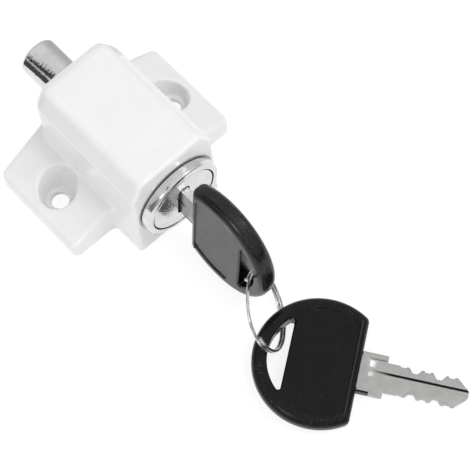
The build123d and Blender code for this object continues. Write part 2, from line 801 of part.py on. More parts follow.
def key_head(plane, blade):
    """A moulded head: a disc cut off flat where the blade enters, with a slot for the ring."""
    with BuildPart() as head:
        with BuildSketch(plane) as outline:
            with Locations((-head_flat, 0)):
                Circle(head_width / 2)
            with Locations((0, 0)):
                Rectangle(head_width, head_width, align=(Align.MIN, Align.CENTER), mode=Mode.SUBTRACT)
            fillet(outline.vertices(), head_corner)
        extrude(amount=head_thickness / 2, both=True)
        fillet(head.faces().filter_by(plane).edges(), head_edge)
        with BuildSketch(plane) as slot:
            with Locations((-head_flat, 0)):
                Circle(head_width / 2 - slot_wall)
            with Locations((-head_flat - slot_flat, 0)):
                Rectangle(head_width, head_width, align=(Align.MIN, Align.CENTER), mode=Mode.SUBTRACT)
            fillet(slot.vertices(), slot_corner)
        extrude(amount=head_thickness, both=True, mode=Mode.SUBTRACT)
        slot_rims = ShapeList()
        for face in head.faces().filter_by(plane):
            for wire in face.inner_wires():
                slot_rims += wire.edges()
        fillet(slot_rims, slot_edge)
        for face in (-1, 1):
            with BuildSketch(plane.offset(face * head_thickness / 2)) as panel:
                with Locations((-head_flat, 0)):
                    Circle(head_width / 2 - panel_rim)
                with Locations((-panel_near, 0)):
                    Rectangle(head_width, head_width, align=(Align.MIN, Align.CENTER), mode=Mode.SUBTRACT)
                with Locations((-head_flat - panel_far, 0)):
                    Rectangle(head_width, head_width, align=(Align.MAX, Align.CENTER), mode=Mode.SUBTRACT)
                fillet(panel.vertices(), panel_corner)
            extrude(amount=-face * panel_depth, mode=Mode.SUBTRACT)
        # A nib that holds the blade by a notch in its shoulder
        with BuildSketch(plane):
            with Locations((nib_length / 2 - head_corner, (nib_height - shoulder_width) / 2)):
                Rectangle(nib_length + 2 * head_corner, nib_height)
        extrude(amount=blade_thickness / 2, both=True)
        add(blade, mode=Mode.SUBTRACT)
    return head.part


# Key 1 is pushed home in the plug, key 2 lies on the table with its head on the ring
key_1_plane = Plane(origin=(0, key_edge_y, axis_height), x_dir=(0, 1, 0), z_dir=blade_side)
turn = radians(loose_key_turn)
pitch = radians(loose_key_pitch)
loose_tip = Vector(cos(turn) * cos(pitch), sin(turn) * cos(pitch), -sin(pitch))
loose_up = Vector(cos(turn) * sin(pitch), sin(turn) * sin(pitch), cos(pitch))
loose_centre = Vector(loose_key_x, key_edge_y - loose_key_ahead, loose_key_z)
key_2_plane = Plane(origin=loose_centre + loose_tip * head_flat, x_dir=loose_tip, z_dir=loose_up)
keys = []
for number, plane in enumerate((key_1_plane, key_2_plane), start=1):
    blade = key_blade(plane)
    head = key_head(plane, blade)
    blade.label = f"key_{number}_blade"
    head.label = f"key_{number}_head"
    keys += [blade, head]

# Split ring: two flat turns of round wire with one short jog between them
heading = radians(ring_heading)
rise = radians(ring_rise)
ring_plane = Plane(
    origin=(ring_x, key_edge_y - ring_ahead, ring_z),
    z_dir=(cos(heading) * cos(rise), sin(heading) * cos(rise), sin(rise)),
)
ring_radius = (ring_width - ring_wire) / 2
jog = radians(ring_jog)
spare = radians(ring_end_gap)
first = radians(ring_start)
stretch = (2 * pi - jog - spare) / turn_steps
lower_turn = [first + stretch * step for step in range(turn_steps + 1)]
upper_turn = [lower_turn[-1] + jog + stretch * step for step in range(turn_steps + 1)]
ring_points = []
ring_tangents = []
for number, angle in enumerate(lower_turn + upper_turn):
    level = ring_pitch / 2 if number > turn_steps else -ring_pitch / 2
    place = (ring_radius * cos(angle), ring_radius * sin(angle), level)
    ring_points.append(ring_plane.from_local_coords(place))
    ahead = ring_plane.from_local_coords((-sin(angle), cos(angle), 0))
    ring_tangents.append((ahead - ring_plane.origin).normalized())
ring_path = arc_path(ring_points, ring_tangents)
split_ring = swept_wire(ring_path, ring_wire)
split_ring.label = "split_ring"
print(f"split_ring least gap {least_gap(ring_path, ring_wire, ring_radius):.2f} mm")

pieces = [
    housing.part,
    stop_pin.part,
    bezel.part,
    barrel.part,
    guide_foot.part,
    bolt.part,
    bolt_pins.part,
    plug.part,
    plug_cap.part,
    retaining_washer.part,
    cam.part,
    cam_screw.part,
    latch_pin.part,
    latch_spring,
    return_spring,
    *wafers,
    *wafer_springs,
    *keys,
    split_ring,
]
for piece in pieces:
    export_step(piece, f"parts/{piece.label}.step")
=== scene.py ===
import json
import math

import bmesh
import bpy
import numpy as np
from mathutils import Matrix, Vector


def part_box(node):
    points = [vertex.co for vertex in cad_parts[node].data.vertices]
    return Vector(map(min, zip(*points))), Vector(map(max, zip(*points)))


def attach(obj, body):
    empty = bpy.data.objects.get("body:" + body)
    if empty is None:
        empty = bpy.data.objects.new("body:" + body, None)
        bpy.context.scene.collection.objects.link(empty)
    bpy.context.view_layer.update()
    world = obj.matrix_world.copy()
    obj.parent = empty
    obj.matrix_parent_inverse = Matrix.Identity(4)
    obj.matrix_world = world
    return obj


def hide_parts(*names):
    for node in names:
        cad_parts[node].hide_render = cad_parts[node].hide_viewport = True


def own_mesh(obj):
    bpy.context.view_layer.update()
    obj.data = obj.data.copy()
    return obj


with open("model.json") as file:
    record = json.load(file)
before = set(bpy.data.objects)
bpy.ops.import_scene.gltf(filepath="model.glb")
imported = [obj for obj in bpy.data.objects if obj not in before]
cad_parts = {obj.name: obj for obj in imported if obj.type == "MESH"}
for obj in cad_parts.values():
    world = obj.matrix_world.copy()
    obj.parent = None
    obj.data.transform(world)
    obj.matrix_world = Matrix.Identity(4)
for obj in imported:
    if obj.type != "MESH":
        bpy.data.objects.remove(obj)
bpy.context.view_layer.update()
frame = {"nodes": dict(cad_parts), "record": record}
nodes = frame["nodes"]
print("frame loaded:", len(nodes), "CAD nodes")

mm = 0.001
white = (1, 1, 1, 1)
scene = bpy.context.scene
scene.view_settings.view_transform = "Standard"


# Studio, in metres and degrees: the photograph's camera, a white floor and an even sky
studio = {
    "cameraPlace": (-0.09889, -0.17760, 0.40740),
    "cameraTurn": (23.351, 2.560, -42.544),
    "cameraNearest": 0.010,
    "lens": 141.0,
    "sensor": 36.0,
    "floorWidth": 3.0,
    "floorDrop": 0.0002,
    "floorGlow": 0.84,
    "floorFaint": 0.22,
    "floorTone": 0.95,
    "skyLevels": {"even": 0.66, "mirror": 1.0, "seen": 1.0},
}

# Lamps: place and width in metres, power in watts, and whether reflections show them
lamps = {
    "keyLamp": {"place": (0.16, -0.26, 0.72), "size": 0.32, "power": 1.28, "shines": False},
    "fillLamp": {"place": (-0.50, 0.10, 0.60), "size": 0.70, "power": 0.2, "shines": False},
    "overheadGlint": {"place": (0.16, -0.26, 0.72), "size": 0.12, "power": 0.45, "shines": True},
    "sideGlint": {"place": (-0.55, -0.16, 0.55), "size": 0.18, "power": 0.70, "shines": True},
    "frontFill": {"place": (0.02, -0.70, 0.16), "size": 0.50, "power": 0.6, "shines": False},
    "bladeGlint": {"place": (0.45, -0.24, 0.60), "size": 0.15, "power": 0.28, "shines": True},
}

# What polished metal sees of the room, from the horizon up to overhead: height and brightness
roomBands = [(0.0, 0.58), (0.35, 0.66), (0.7, 0.84), (1.0, 0.80)]

# Dark screens beside and before the lock, seen by reflections only: each is an upright sheet, square
# to the lock's side or to its front, at one distance, as columns of (distance along, bottom, top) in mm
screens = {
    "lowFrontScreen": {
        "side": True, "at": -32.0, "tone": 0.22,
        "columns": [(-30, 19, 46), (-12, 18, 44), (10, 17, 39)],
    },
    "highFrontScreen": {
        "side": True, "at": -32.0, "tone": 0.20,
        "columns": [(-30, 68, 120), (-7.5, 60.6, 128), (17, 50, 130)],
    },
    "lowSideScreen": {
        "side": True, "at": -32.0, "tone": 0.07,
        "columns": [(10, 17, 39), (27, 14.8, 33.8), (35, 9.4, 28.2), (42, 2.5, 23.8), (50, 0, 20)],
    },
    "highSideScreen": {
        "side": True, "at": -32.0, "tone": 0.04,
        "columns": [(17, 50, 130), (31.2, 42.5, 130), (36.2, 34.8, 130), (45.2, 26.4, 130)],
    },
    "topSideScreen": {
        "side": True, "at": -32.0, "tone": 0.04,
        "columns": [(45.2, 62, 130), (67.3, 129, 130)],
    },
    "farSideScreen": {
        "side": True, "at": 22.0, "tone": 0.56,
        "columns": [(14.5, 0, 20), (70, 0, 20)],
    },
    "frontScreen": {
        "side": False, "at": -400.0, "tone": 0.03,
        "columns": [(-1100, 20, 100), (500, 20, 100)],
    },
}


def addObject(name, data):
    thing = bpy.data.objects.new(name, data)
    scene.collection.objects.link(thing)
    return thing


def addCamera():
    data = bpy.data.cameras.new("photoCamera")
    data.lens = studio["lens"]
    data.sensor_width = studio["sensor"]
    data.clip_start = studio["cameraNearest"]
    camera = addObject("photoCamera", data)
    camera.location = studio["cameraPlace"]
    camera.rotation_euler = [math.radians(angle) for angle in studio["cameraTurn"]]
    scene.camera = camera


def addLamp(name, lamp):
    data = bpy.data.lights.new(name, "AREA")
    data.shape = "DISK"
    data.size = lamp["size"]
    data.energy = lamp["power"]
    light = addObject(name, data)
    light.location = lamp["place"]
    light.rotation_euler = (-Vector(lamp["place"])).to_track_quat("-Z", "Y").to_euler()
    light.visible_glossy = lamp["shines"]


def mixShaders(tree, share, first, second):
    mixed = tree.nodes.new("ShaderNodeMixShader")
    tree.links.new(share, mixed.inputs["Fac"])
    tree.links.new(first, mixed.inputs[1])
    tree.links.new(second, mixed.inputs[2])
    return mixed.outputs["Shader"]


def grey(tone):
    return (tone, tone, tone, 1)


def addWorld():
    # White to the camera, even light on matt surfaces, a soft fall towards the horizon for metal
    world = bpy.data.worlds.new("paleStudio")
    world.use_nodes = True
    scene.world = world
    tree = world.node_tree
    tree.nodes.clear()
    link = tree.links.new
    out = tree.nodes.new("ShaderNodeOutputWorld")
    rays = tree.nodes.new("ShaderNodeLightPath")
    place = tree.nodes.new("ShaderNodeTexCoord")
    height = tree.nodes.new("ShaderNodeSeparateXYZ")
    ramp = tree.nodes.new("ShaderNodeValToRGB")
    bands = ramp.color_ramp.elements
    for index, (level, value) in enumerate(roomBands):
        band = bands[index] if index < len(bands) else bands.new(level)
        band.position = level
        band.color = grey(value)
    link(place.outputs["Generated"], height.inputs["Vector"])
    link(height.outputs["Z"], ramp.inputs["Fac"])
    glow = {}
    for key, level in studio["skyLevels"].items():
        glow[key] = tree.nodes.new("ShaderNodeBackground")
        glow[key].inputs["Strength"].default_value = level
        glow[key].inputs["Color"].default_value = white
    link(ramp.outputs["Color"], glow["mirror"].inputs["Color"])
    even, mirror, seen = [glow[key].outputs["Background"] for key in ("even", "mirror", "seen")]
    lit = mixShaders(tree, rays.outputs["Is Glossy Ray"], even, mirror)
    link(mixShaders(tree, rays.outputs["Is Camera Ray"], lit, seen), out.inputs["Surface"])


def addSheet(name, label, points, quads):
    # A flat piece of the studio with an emptied material, which no lamp sampling picks up
    mesh = bpy.data.meshes.new(name)
    mesh.from_pydata(points, [], quads)
    material = bpy.data.materials.new(label)
    material.use_nodes = True
    material.cycles.emission_sampling = "NONE"
    material.node_tree.nodes.clear()
    mesh.materials.append(material)
    return addObject(name, mesh), material.node_tree


def addFloor():
    # A plain white sheet: it glows to the camera and to reflections, and still takes a faint shadow
    half = studio["floorWidth"] / 2
    level = -studio["floorDrop"]
    corners = [(-half, -half, level), (half, -half, level), (half, half, level), (-half, half, level)]
    floor, tree = addSheet("floor", "whiteFloor", corners, [(0, 1, 2, 3)])
    link = tree.links.new
    out = tree.nodes.new("ShaderNodeOutputMaterial")
    matt = tree.nodes.new("ShaderNodeBsdfDiffuse")
    matt.inputs["Color"].default_value = grey(studio["floorTone"])
    faint = tree.nodes.new("ShaderNodeBsdfDiffuse")
    faint.inputs["Color"].default_value = grey(studio["floorFaint"])
    glow = tree.nodes.new("ShaderNodeEmission")
    glow.inputs["Strength"].default_value = studio["floorGlow"]
    bright = tree.nodes.new("ShaderNodeAddShader")
    link(glow.outputs["Emission"], bright.inputs[0])
    link(faint.outputs["BSDF"], bright.inputs[1])
    rays = tree.nodes.new("ShaderNodeLightPath")
    either = tree.nodes.new("ShaderNodeMath")
    either.operation = "MAXIMUM"
    link(rays.outputs["Is Camera Ray"], either.inputs[0])
    link(rays.outputs["Is Glossy Ray"], either.inputs[1])
    surface = mixShaders(tree, either.outputs["Value"], matt.outputs["BSDF"], bright.outputs["Shader"])
    link(surface, out.inputs["Surface"])


def addScreen(name, screen):
    # Hidden from the camera and from matt surfaces, so that it only darkens what polished metal shows
    columns = np.array(screen["columns"], dtype=float)
    along = np.repeat(columns[:, 0], 2)
    fixed = np.full(len(along), screen["at"])
    height = columns[:, 1:].ravel()
    points = np.stack([fixed, along, height] if screen["side"] else [along, fixed, height], -1)
    quads = [(2 * i, 2 * i + 2, 2 * i + 3, 2 * i + 1) for i in range(len(columns) - 1)]
    sheet, tree = addSheet(name, name, points * mm, quads)
    dark = tree.nodes.new("ShaderNodeEmission")
    dark.inputs["Color"].default_value = white
    dark.inputs["Strength"].default_value = screen["tone"]
    out = tree.nodes.new("ShaderNodeOutputMaterial")
    tree.links.new(dark.outputs["Emission"], out.inputs["Surface"])
    sheet.visible_camera = False
    sheet.visible_diffuse = False
    sheet.visible_shadow = False
    sheet.visible_transmission = False


addCamera()
addWorld()
addFloor()
for name, screen in screens.items():
    addScreen(name, screen)
for name, lamp in lamps.items():
    addLamp(name, lamp)
print("studio set")


# Shared effects, each a node group that reads the object's own coordinates in millimetres
effects = {
    "mottle": {
        "largeDetail": 2.0,
        "smallDetail": 3.0,
        "smallScale": 5.3,
        "smallShare": 0.35,
        "edge": (0.3, 0.7),
    },
    "scratches": {
        "detail": 2.5,
        "distortion": 0.4,
        "patchScale": 0.4,
        "patchDetail": 2.0,
        "bareBelow": 0.9,
        "patchSoft": 0.12,
    },
    "relief": {"swellDetail": 1.0, "grainDetail": 2.0},
}
noiseMiddle = 0.5


def newGroup(name, inputs, output):
    # Inputs with their defaults: a triple makes a vector input, a number makes a plain one
    tree = bpy.data.node_groups.new(name, "ShaderNodeTree")
    for label, value in inputs.items():
        kind = "NodeSocketVector" if isinstance(value, tuple) else "NodeSocketFloat"
        socket = tree.interface.new_socket(label, in_out="INPUT", socket_type=kind)
        socket.default_value = value
    tree.interface.new_socket(output, in_out="OUTPUT", socket_type="NodeSocketFloat")
    return tree, tree.nodes.new("NodeGroupInput"), tree.nodes.new("NodeGroupOutput")


def feed(tree, socket, value):
    # Another node's output is linked to the socket, and a number or a colour is set on it
    if isinstance(value, bpy.types.NodeSocket):
        tree.links.new(value, socket)
    else:
        socket.default_value = (*value, 1) if isinstance(value, tuple) else value


def addMath(tree, operation, *values):
    node = tree.nodes.new("ShaderNodeMath")
    node.operation = operation
    for socket, value in zip(node.inputs, values):
        feed(tree, socket, value)
    return node.outputs["Value"]


def millimetres(tree):
    # Object coordinates scaled so that one unit is a millimetre
    place = tree.nodes.new("ShaderNodeTexCoord")
    scaled = tree.nodes.new("ShaderNodeVectorMath")
    scaled.operation = "SCALE"
    scaled.inputs["Scale"].default_value = 1 / mm
    tree.links.new(place.outputs["Object"], scaled.inputs["Vector"])
    return scaled.outputs["Vector"]


def drawnOut(tree, place, stretch):
    node = tree.nodes.new("ShaderNodeVectorMath")
    node.operation = "MULTIPLY"
    tree.links.new(place, node.inputs[0])
    tree.links.new(stretch, node.inputs[1])
    return node.outputs["Vector"]


def smoothStep(tree, value, low, high):
    node = tree.nodes.new("ShaderNodeMapRange")
    node.interpolation_type = "SMOOTHSTEP"
    for label, entry in (("Value", value), ("From Min", low), ("From Max", high)):
        feed(tree, node.inputs[label], entry)
    return node.outputs["Result"]


def noiseOf(tree, vector, scale, detail, distortion=0.0):
    node = tree.nodes.new("ShaderNodeTexNoise")
    entries = {"Vector": vector, "Scale": scale, "Detail": detail, "Distortion": distortion}
    for label, entry in entries.items():
        feed(tree, node.inputs[label], entry)
    return node.outputs["Fac"]


def buildMottle(look):
    # Cloudy patches: two sizes of noise, spread about the middle by the contrast
    tree, inlet, outlet = newGroup("cloudyPatches", {"Patch Size": 4.0, "Contrast": 1.0}, "Mask")
    place = millimetres(tree)
    scale = addMath(tree, "DIVIDE", 1.0, inlet.outputs["Patch Size"])
    large = noiseOf(tree, place, scale, look["largeDetail"])
    fine = addMath(tree, "MULTIPLY", scale, look["smallScale"])
    small = noiseOf(tree, place, fine, look["smallDetail"])
    most = addMath(tree, "MULTIPLY", large, 1 - look["smallShare"])
    both = addMath(tree, "MULTIPLY_ADD", small, look["smallShare"], most)
    centred = addMath(tree, "SUBTRACT", both, noiseMiddle)
    spread = addMath(tree, "MULTIPLY", centred, inlet.outputs["Contrast"])
    result = smoothStep(tree, addMath(tree, "ADD", spread, noiseMiddle), *look["edge"])
    tree.links.new(result, outlet.inputs["Mask"])
    return tree


def buildScratches(look):
    # Hairlines: the level lines of a stretched noise, kept only inside loose patches
    inputs = {"Spacing": 2.0, "Stretch": (1.0, 0.15, 1.0), "Width": 0.02, "Cover": 0.5}
    tree, inlet, outlet = newGroup("hairlineScratches", inputs, "Mask")
    place = millimetres(tree)
    stretched = drawnOut(tree, place, inlet.outputs["Stretch"])
    scale = addMath(tree, "DIVIDE", 1.0, inlet.outputs["Spacing"])
    field = noiseOf(tree, stretched, scale, look["detail"], look["distortion"])
    away = addMath(tree, "ABSOLUTE", addMath(tree, "SUBTRACT", field, noiseMiddle))
    line = smoothStep(tree, away, inlet.outputs["Width"], 0.0)
    broad = addMath(tree, "MULTIPLY", scale, look["patchScale"])
    patches = noiseOf(tree, place, broad, look["patchDetail"])
    bare = addMath(tree, "SUBTRACT", look["bareBelow"], inlet.outputs["Cover"])
    kept = smoothStep(tree, patches, bare, addMath(tree, "ADD", bare, look["patchSoft"]))
    tree.links.new(addMath(tree, "MULTIPLY", line, kept), outlet.inputs["Mask"])
    return tree


def buildRelief(look):
    # Fine relief in real sizes: a soft swell and a sharper grain, as one height
    inputs = {"Swell Size": 2.0, "Grain Size": 0.15, "Grain Share": 0.3, "Stretch": (1.0, 1.0, 1.0)}
    tree, inlet, outlet = newGroup("fineRelief", inputs, "Height")
    stretched = drawnOut(tree, millimetres(tree), inlet.outputs["Stretch"])
    coarse = addMath(tree, "DIVIDE", 1.0, inlet.outputs["Swell Size"])
    fine = addMath(tree, "DIVIDE", 1.0, inlet.outputs["Grain Size"])
    swell = noiseOf(tree, stretched, coarse, look["swellDetail"])
    grain = noiseOf(tree, stretched, fine, look["grainDetail"])
    height = addMath(tree, "MULTIPLY_ADD", grain, inlet.outputs["Grain Share"], swell)
    tree.links.new(height, outlet.inputs["Height"])
    return tree


groups = {
    "mottle": buildMottle(effects["mottle"]),
    "scratches": buildScratches(effects["scratches"]),
    "relief": buildRelief(effects["relief"]),
}
print("effects built:", len(groups))


# Materials
def newMaterial(name, constants):
    material = bpy.data.materials.new(name)
    material.use_nodes = True
    tree = material.node_tree
    shader = tree.nodes["Principled BSDF"]
    for label, value in constants.items():
        shader.inputs[label].default_value = value
    return material, tree, shader


def useGroup(tree, key, values):
    node = tree.nodes.new("ShaderNodeGroup")
    node.node_tree = groups[key]
    for label, value in values.items():
        node.inputs[label].default_value = value
    return node.outputs[0]


def colourBetween(tree, mask, first, second):
    # Goes from the first to the second as the mask goes from 0 to 1
    mix = tree.nodes.new("ShaderNodeMix")
    mix.data_type = "RGBA"
    feed(tree, mix.inputs["Factor"], mask)
    feed(tree, mix.inputs["A"], first)
    feed(tree, mix.inputs["B"], second)
    return mix.outputs["Result"]


def levelBetween(tree, mask, first, second):
    return addMath(tree, "MULTIPLY_ADD", mask, second - first, first)


def bandOf(tree, value, low, high, soft):
    # 1 between low and high, with soft edges
    rise = smoothStep(tree, value, low - soft, low + soft)
    return addMath(tree, "MULTIPLY", rise, smoothStep(tree, value, high + soft, high - soft))


def placeOnKey(tree, key):
    # Millimetres from the head's centre: along the key, across it and through it
    place = tree.nodes.new("ShaderNodeTexCoord")
    centred = tree.nodes.new("ShaderNodeMapping")
    centred.vector_type = "TEXTURE"
    centred.inputs["Location"].default_value = [value * mm for value in key["headCentre"]]
    centred.inputs["Rotation"].default_value = [math.radians(angle) for angle in key["turn"]]
    centred.inputs["Scale"].default_value = (mm, mm, mm)
    tree.links.new(place.outputs["Object"], centred.inputs["Vector"])
    parts = tree.nodes.new("ShaderNodeSeparateXYZ")
    tree.links.new(centred.outputs["Vector"], parts.inputs["Vector"])
    return centred.outputs["Vector"], parts.outputs


def addRelief(tree, shader, height, depth):
    # Bump whose depth is in millimetres
    bump = tree.nodes.new("ShaderNodeBump")
    bump.inputs["Distance"].default_value = depth * mm
    bump.inputs["Strength"].default_value = 1.0
    tree.links.new(height, bump.inputs["Height"])
    tree.links.new(bump.outputs["Normal"], shader.inputs["Normal"])


def setSurface(tree, shader, colour, rough):
    feed(tree, shader.inputs["Base Color"], colour)
    feed(tree, shader.inputs["Roughness"], rough)


# Here and below, patches, marks, relief and peel hold a shared effect's inputs, sizes in millimetres
paint = {
    "base": (0.835, 0.837, 0.84),
    "dull": (0.812, 0.812, 0.812),
    "roughness": 0.24,
    "dullRoughness": 0.36,
    "gloss": 1.0,
    "dullGloss": 0.8,
    "coatRoughness": 0.08,
    "patches": {"Patch Size": 6.0, "Contrast": 1.4},
    "peel": {"Swell Size": 3.2, "Grain Size": 0.8, "Grain Share": 0.02},
    "depth": 0.011,
}


def makeWhitePaint():
    # The coat is the only gloss, so that the paint stays even where it is seen at a low angle
    constants = {"Specular IOR Level": 0.0, "Coat Roughness": paint["coatRoughness"]}
    material, tree, shader = newMaterial("whitePaint", constants)
    patches = useGroup(tree, "mottle", paint["patches"])
    colour = colourBetween(tree, patches, paint["base"], paint["dull"])
    rough = levelBetween(tree, patches, paint["roughness"], paint["dullRoughness"])
    coat = levelBetween(tree, patches, paint["gloss"], paint["dullGloss"])
    setSurface(tree, shader, colour, rough)
    feed(tree, shader.inputs["Coat Weight"], coat)
    addRelief(tree, shader, useGroup(tree, "relief", paint["peel"]), paint["depth"])
    return material


# Plain metals: patches go from bright to dark, and marks add to the roughness and to the height
metals = {
    "chrome": {
        "name": "chromePlate",
        "bright": (0.74, 0.74, 0.75),
        "dark": (0.66, 0.66, 0.67),
        "roughness": 0.07,
        "dullRoughness": 0.14,
        "markRoughness": 0.23,
        "markHeight": -0.10,
        "patches": {"Patch Size": 3.4, "Contrast": 1.3},
        "marks": {"Spacing": 1.6, "Stretch": (1.0, 0.12, 1.0), "Width": 0.012, "Cover": 0.36},
        "relief": {
            "Swell Size": 0.55,
            "Grain Size": 0.25,
            "Grain Share": 0.25,
            "Stretch": (0.8, 1.0, 0.8),
        },
        "depth": 0.036,
    },
    "spring_steel": {
        "name": "springSteel",
        "bright": (0.70, 0.70, 0.71),
        "dark": (0.42, 0.42, 0.43),
        "roughness": 0.16,
        "dullRoughness": 0.28,
        "markRoughness": 0.2,
        "markHeight": 0.0,
        "patches": {"Patch Size": 1.6, "Contrast": 1.8},
        "marks": {"Spacing": 0.9, "Stretch": (1.0, 1.0, 1.0), "Width": 0.02, "Cover": 0.5},
        "relief": {"Swell Size": 0.6, "Grain Size": 0.1, "Grain Share": 0.3},
        "depth": 0.006,
    },
}

# Dull turned, cast or stamped metals for the parts inside, and what they share
dullMetals = {
    "cast_zinc": {
        "name": "castZinc",
        "bright": (0.56, 0.56, 0.57),
        "dark": (0.44, 0.44, 0.45),
        "roughness": 0.38,
        "dullRoughness": 0.53,
        "grain": 0.25,
    },
    "hardened_steel": {
        "name": "hardenedSteel",
        "bright": (0.52, 0.52, 0.53),
        "dark": (0.40, 0.40, 0.41),
        "roughness": 0.26,
        "dullRoughness": 0.41,
        "grain": 0.15,
    },
    "brass": {
        "name": "stampedBrass",
        "bright": (0.78, 0.61, 0.30),
        "dark": (0.62, 0.46, 0.20),
        "roughness": 0.30,
        "dullRoughness": 0.45,
        "grain": 0.20,
    },
}
dullPatches = {"Patch Size": 3.0, "Contrast": 1.5}
dullRelief = {"Swell Size": 0.8, "Grain Share": 0.6}
dullDepth = 0.008
for slot, look in dullMetals.items():
    relief = {**dullRelief, "Grain Size": look["grain"]}
    metals[slot] = {**look, "patches": dullPatches, "relief": relief, "depth": dullDepth}


def makeMetal(look):
    material, tree, shader = newMaterial(look["name"], {"Metallic": 1.0})
    patches = useGroup(tree, "mottle", look["patches"])
    rough = levelBetween(tree, patches, look["roughness"], look["dullRoughness"])
    height = useGroup(tree, "relief", look["relief"])
    if "marks" in look:
        marks = useGroup(tree, "scratches", look["marks"])
        rough = addMath(tree, "MULTIPLY_ADD", marks, look["markRoughness"], rough)
        height = addMath(tree, "MULTIPLY_ADD", marks, look["markHeight"], height)
    setSurface(tree, shader, colourBetween(tree, patches, look["bright"], look["dark"]), rough)
    addRelief(tree, shader, height, look["depth"])
    return material


# Key blades, in millimetres from the head's centre: a band lies across the key between two values, and
# in the other pairs a mark goes from nothing at the first value to full at the second
blades = {
    "bright": (0.475, 0.47, 0.46),
    "dark": (0.35, 0.345, 0.335),
    "roughness": 0.34,
    "dullRoughness": 0.44,
    "brush": (14, 0.35, 0.35),
    "brushDetail": 3.0,
    "brushShare": 0.6,
    "patches": {"Patch Size": 2.2, "Contrast": 1.3},
    "marks": {"Spacing": 1.4, "Stretch": (1.0, 0.5, 1.0), "Width": 0.014, "Cover": 0.42},
    "markRoughness": 0.20,
    "markHeight": -0.5,
    "depth": 0.010,
    "bandSoft": 0.1,
    "grooveShade": (0.02, 0.02, 0.02),
    "grooveShadeBand": (0.46, 0.94),
    "grooveShadeAlong": (12.2, 17.0),
    "highlightTone": (0.95, 0.95, 0.95),
    "runOutStart": (11.35, 11.55),
    "runOutEnd": (13.2, 11.8),
    "runOutBands": ((1.75, 3.2), (-0.7, 0.3)),
    "secondRunOut": 0.6,
    "edgeAcross": (3.3, 3.42),
    "edgeThrough": (1.0, 0.92),
}


def makeNickelSilver(name, key):
    # Brushed along the blade, by noise drawn out in the blade's own direction, with painted shade along
    # the groove, and painted highlights on the run-out ramps and on the narrow edges
    material, tree, shader = newMaterial(name, {"Metallic": 1.0})
    place = tree.nodes.new("ShaderNodeTexCoord")
    turned = tree.nodes.new("ShaderNodeMapping")
    turned.vector_type = "TEXTURE"
    turned.inputs["Rotation"].default_value = (0, 0, math.radians(key["bladeHeading"]))
    turned.inputs["Scale"].default_value = [size * mm for size in blades["brush"]]
    tree.links.new(place.outputs["Object"], turned.inputs["Vector"])
    brushed = noiseOf(tree, turned.outputs["Vector"], 1.0, blades["brushDetail"])
    patches = useGroup(tree, "mottle", blades["patches"])
    marks = useGroup(tree, "scratches", blades["marks"])

    clouds = addMath(tree, "MULTIPLY", patches, 1 - blades["brushShare"])
    tone = addMath(tree, "MULTIPLY_ADD", brushed, blades["brushShare"], clouds)
    metal = colourBetween(tree, tone, blades["bright"], blades["dark"])

    parts = placeOnKey(tree, key)[1]
    along, across = parts["X"], parts["Y"]
    soft = blades["bandSoft"]
    # Painted highlight: the run-out ramps are lightened towards the highlight tone, standing in for the
    # light they catch
    first, second = [bandOf(tree, across, *reach, soft) for reach in blades["runOutBands"]]
    both = addMath(tree, "MULTIPLY_ADD", second, blades["secondRunOut"], first)
    begun = smoothStep(tree, along, *blades["runOutStart"])
    faded = addMath(tree, "MULTIPLY", begun, smoothStep(tree, along, *blades["runOutEnd"]))
    runOut = addMath(tree, "MULTIPLY", both, addMath(tree, "MULTIPLY", faded, key["runOutShine"]))
    metal = colourBetween(tree, runOut, metal, blades["highlightTone"])

    # Painted highlight: the blade's narrow edges are lightened, standing in for the light they catch
    # from above
    aside = smoothStep(tree, addMath(tree, "ABSOLUTE", across), *blades["edgeAcross"])
    level = smoothStep(tree, addMath(tree, "ABSOLUTE", parts["Z"]), *blades["edgeThrough"])
    edge = addMath(tree, "MULTIPLY", addMath(tree, "MULTIPLY", aside, level), key["edgeShine"])
    metal = colourBetween(tree, edge, metal, blades["highlightTone"])

    # Painted shade: a dark line along the groove, standing in for the shade on its wall
    inLine = bandOf(tree, across, *blades["grooveShadeBand"], soft)
    grooveShade = addMath(tree, "MULTIPLY", inLine, smoothStep(tree, along, *blades["grooveShadeAlong"]))
    metal = colourBetween(tree, grooveShade, metal, blades["grooveShade"])

    rough = levelBetween(tree, patches, blades["roughness"], blades["dullRoughness"])
    rough = addMath(tree, "MULTIPLY_ADD", marks, blades["markRoughness"], rough)
    setSurface(tree, shader, metal, rough)
    height = addMath(tree, "MULTIPLY_ADD", marks, blades["markHeight"], brushed)
    addRelief(tree, shader, height, blades["depth"])
    return material


plastic = {
    "base": (0.0035, 0.0035, 0.004),
    "scuffAndSheenTone": (0.045, 0.045, 0.047),
    "roughness": 0.20,
    "dullRoughness": 0.28,
    "scuffRoughness": 0.22,
    "scuffHeight": -0.4,
    "patches": {"Patch Size": 5.0, "Contrast": 1.5},
    "marks": {"Spacing": 2.4, "Stretch": (1.0, 0.7, 0.4), "Width": 0.008, "Cover": 0.46},
    "markShare": 0.22,
    "peel": {"Swell Size": 1.4, "Grain Size": 0.25, "Grain Share": 0.15},
    "depth": 0.010,
    "rim": (12.6, 14.6),
    "rubScale": 2.6,
    "rubDetail": 6.0,
    "rubDistortion": 1.2,
    "rubbed": (0.56, 0.70),
}


